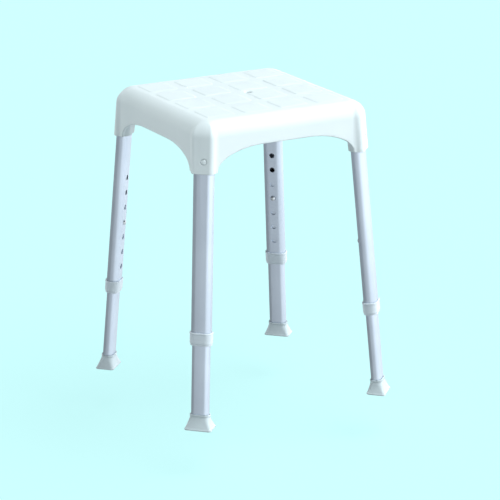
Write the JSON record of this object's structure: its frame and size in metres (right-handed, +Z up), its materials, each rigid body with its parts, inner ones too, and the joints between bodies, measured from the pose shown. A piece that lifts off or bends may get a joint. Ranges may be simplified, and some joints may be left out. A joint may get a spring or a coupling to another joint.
{
  "type": "shower stool",
  "caption": "Backless shower stool with a moulded square tiled seat on splayed telescopic legs, locked by spring buttons, with collars and flared rubber feet.",
  "frame": {"origin": "on the floor, under the middle of the seat, with every leg in its middle hole", "axes": "+Z up; -Y is the front; the four legs lean out along the diagonals"},
  "size_m": [0.374, 0.374, 0.48],
  "materials": {
    "seat_plastic": "satin white moulded polypropylene",
    "leg_aluminium": "satin clear-anodised extrusion",
    "collar_plastic": "white moulded plastic",
    "plug_plastic": "grey moulded plastic",
    "foot_rubber": "matt off-white rubber",
    "button_steel": "bright stainless steel",
    "spring_steel": "plain spring steel",
    "washer_steel": "zinc-plated steel"
  },
  "bodies": {
    "seat_frame": {"seat": "seat_plastic", "upper_tube_front_left": "leg_aluminium", "upper_tube_front_right": "leg_aluminium", "upper_tube_rear_right": "leg_aluminium", "upper_tube_rear_left": "leg_aluminium", "collar_front_left": "collar_plastic", "collar_front_right": "collar_plastic", "collar_rear_right": "collar_plastic", "collar_rear_left": "collar_plastic", "socket_spring_front_left": "spring_steel", "socket_spring_front_right": "spring_steel", "socket_spring_rear_right": "spring_steel", "socket_spring_rear_left": "spring_steel"},
    "leg_front_left": {"lower_tube_front_left": "leg_aluminium", "guide_plug_front_left": "plug_plastic", "adjust_spring_front_left": "spring_steel", "foot_front_left": "foot_rubber", "foot_washer_front_left": "washer_steel"},
    "leg_front_right": {"lower_tube_front_right": "leg_aluminium", "guide_plug_front_right": "plug_plastic", "adjust_spring_front_right": "spring_steel", "foot_front_right": "foot_rubber", "foot_washer_front_right": "washer_steel"},
    "leg_rear_right": {"lower_tube_rear_right": "leg_aluminium", "guide_plug_rear_right": "plug_plastic", "adjust_spring_rear_right": "spring_steel", "foot_rear_right": "foot_rubber", "foot_washer_rear_right": "washer_steel"},
    "leg_rear_left": {"lower_tube_rear_left": "leg_aluminium", "guide_plug_rear_left": "plug_plastic", "adjust_spring_rear_left": "spring_steel", "foot_rear_left": "foot_rubber", "foot_washer_rear_left": "washer_steel"},
    "adjust_button_body_front_left": {"adjust_button_front_left": "button_steel"},
    "adjust_button_body_front_right": {"adjust_button_front_right": "button_steel"},
    "adjust_button_body_rear_right": {"adjust_button_rear_right": "button_steel"},
    "adjust_button_body_rear_left": {"adjust_button_rear_left": "button_steel"},
    "socket_button_body_front_left": {"socket_button_front_left": "seat_plastic"},
    "socket_button_body_front_right": {"socket_button_front_right": "seat_plastic"},
    "socket_button_body_rear_right": {"socket_button_rear_right": "seat_plastic"},
    "socket_button_body_rear_left": {"socket_button_rear_left": "seat_plastic"}
  },
  "joints": [
    {"name": "leg_slide_front_left", "type": "slide", "parent": "seat_frame", "child": "leg_front_left", "axis": [-0.0647, -0.0647, -0.9958], "range_m": [-0.0762, 0.0762]},
    {"name": "leg_slide_front_right", "type": "slide", "parent": "seat_frame", "child": "leg_front_right", "axis": [0.0647, -0.0647, -0.9958], "range_m": [-0.0762, 0.0762]},
    {"name": "leg_slide_rear_right", "type": "slide", "parent": "seat_frame", "child": "leg_rear_right", "axis": [0.0647, 0.0647, -0.9958], "range_m": [-0.0762, 0.0762]},
    {"name": "leg_slide_rear_left", "type": "slide", "parent": "seat_frame", "child": "leg_rear_left", "axis": [-0.0647, 0.0647, -0.9958], "range_m": [-0.0762, 0.0762]},
    {"name": "adjust_button_press_front_left", "type": "slide", "parent": "leg_front_left", "child": "adjust_button_body_front_left", "axis": [-0.7041, -0.7041, 0.0915], "range_m": [0, 0.0052], "stiffness_N_per_m": 1500, "springref_m": -0.002, "deforming": ["adjust_spring_front_left"]},
    {"name": "adjust_button_press_front_right", "type": "slide", "parent": "leg_front_right", "child": "adjust_button_body_front_right", "axis": [0.7041, -0.7041, 0.0915], "range_m": [0, 0.0052], "stiffness_N_per_m": 1500, "springref_m": -0.002, "deforming": ["adjust_spring_front_right"]},
    {"name": "adjust_button_press_rear_right", "type": "slide", "parent": "leg_rear_right", "child": "adjust_button_body_rear_right", "axis": [0.7041, 0.7041, 0.0915], "range_m": [0, 0.0052], "stiffness_N_per_m": 1500, "springref_m": -0.002, "deforming": ["adjust_spring_rear_right"]},
    {"name": "adjust_button_press_rear_left", "type": "slide", "parent": "leg_rear_left", "child": "adjust_button_body_rear_left", "axis": [-0.7041, 0.7041, 0.0915], "range_m": [0, 0.0052], "stiffness_N_per_m": 1500, "springref_m": -0.002, "deforming": ["adjust_spring_rear_left"]},
    {"name": "socket_button_press_front_left", "type": "slide", "parent": "seat_frame", "child": "socket_button_body_front_left", "axis": [0.7041, 0.7041, -0.0915], "range_m": [0, 0.004], "stiffness_N_per_m": 1500, "springref_m": -0.002, "deforming": ["socket_spring_front_left"]},
    {"name": "socket_button_press_front_right", "type": "slide", "parent": "seat_frame", "child": "socket_button_body_front_right", "axis": [-0.7041, 0.7041, -0.0915], "range_m": [0, 0.004], "stiffness_N_per_m": 1500, "springref_m": -0.002, "deforming": ["socket_spring_front_right"]},
    {"name": "socket_button_press_rear_right", "type": "slide", "parent": "seat_frame", "child": "socket_button_body_rear_right", "axis": [-0.7041, -0.7041, -0.0915], "range_m": [0, 0.004], "stiffness_N_per_m": 1500, "springref_m": -0.002, "deforming": ["socket_spring_rear_right"]},
    {"name": "socket_button_press_rear_left", "type": "slide", "parent": "seat_frame", "child": "socket_button_body_rear_left", "axis": [0.7041, -0.7041, -0.0915], "range_m": [0, 0.004], "stiffness_N_per_m": 1500, "springref_m": -0.002, "deforming": ["socket_spring_rear_left"]}
  ]
}
